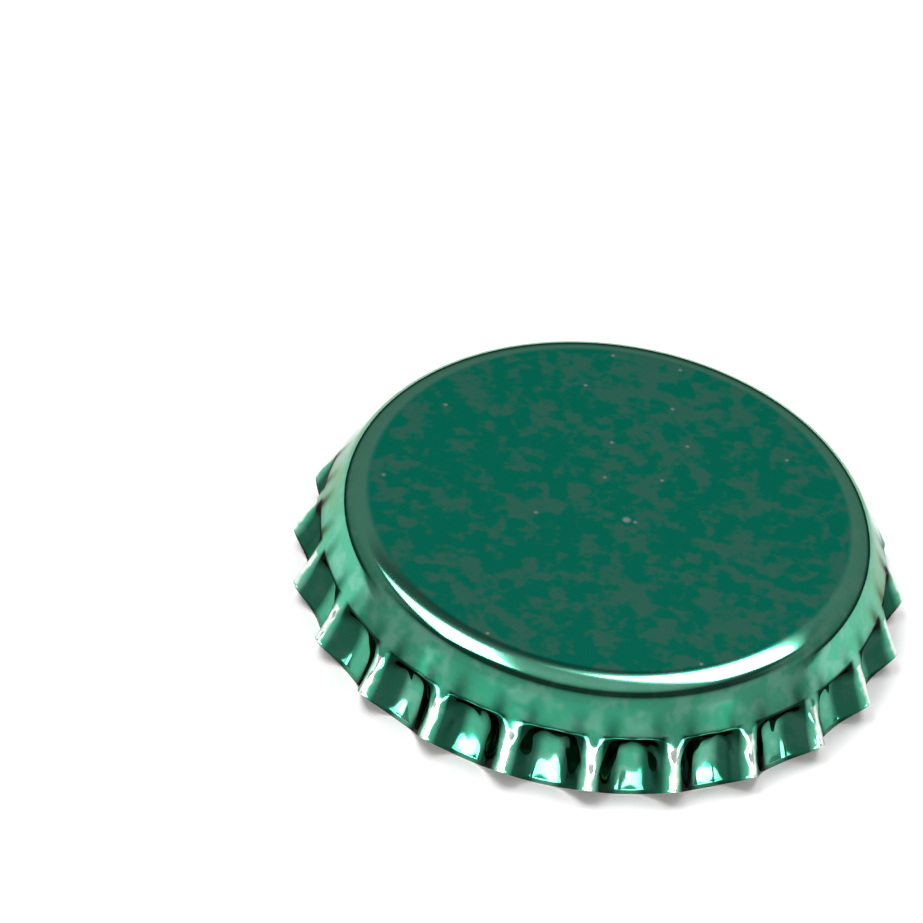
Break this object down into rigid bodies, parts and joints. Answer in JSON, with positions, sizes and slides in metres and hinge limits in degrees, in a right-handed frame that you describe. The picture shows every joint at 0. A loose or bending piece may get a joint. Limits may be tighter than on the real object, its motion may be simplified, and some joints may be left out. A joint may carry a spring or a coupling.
{
  "type": "crown bottle cap",
  "caption": "Green crown bottle cap: a fluted tinplate shell with a moulded liner and a moulded cup insert inside. It stands on its rim.",
  "frame": {"origin": "centre of the cap at the level of the rim that it stands on", "axes": "+Z along the cap's axis, from the rim to the panel"},
  "size_m": [0.0351, 0.0351, 0.0065],
  "materials": {
    "lacquered_tinplate": "green lacquer over tinplate",
    "liner_compound": "satin moulded liner",
    "insert_plastic": "translucent satin moulding"
  },
  "bodies": {
    "root": {"crown_shell": "lacquered_tinplate", "liner": "liner_compound", "insert_cup": "insert_plastic"}
  },
  "joints": []
}
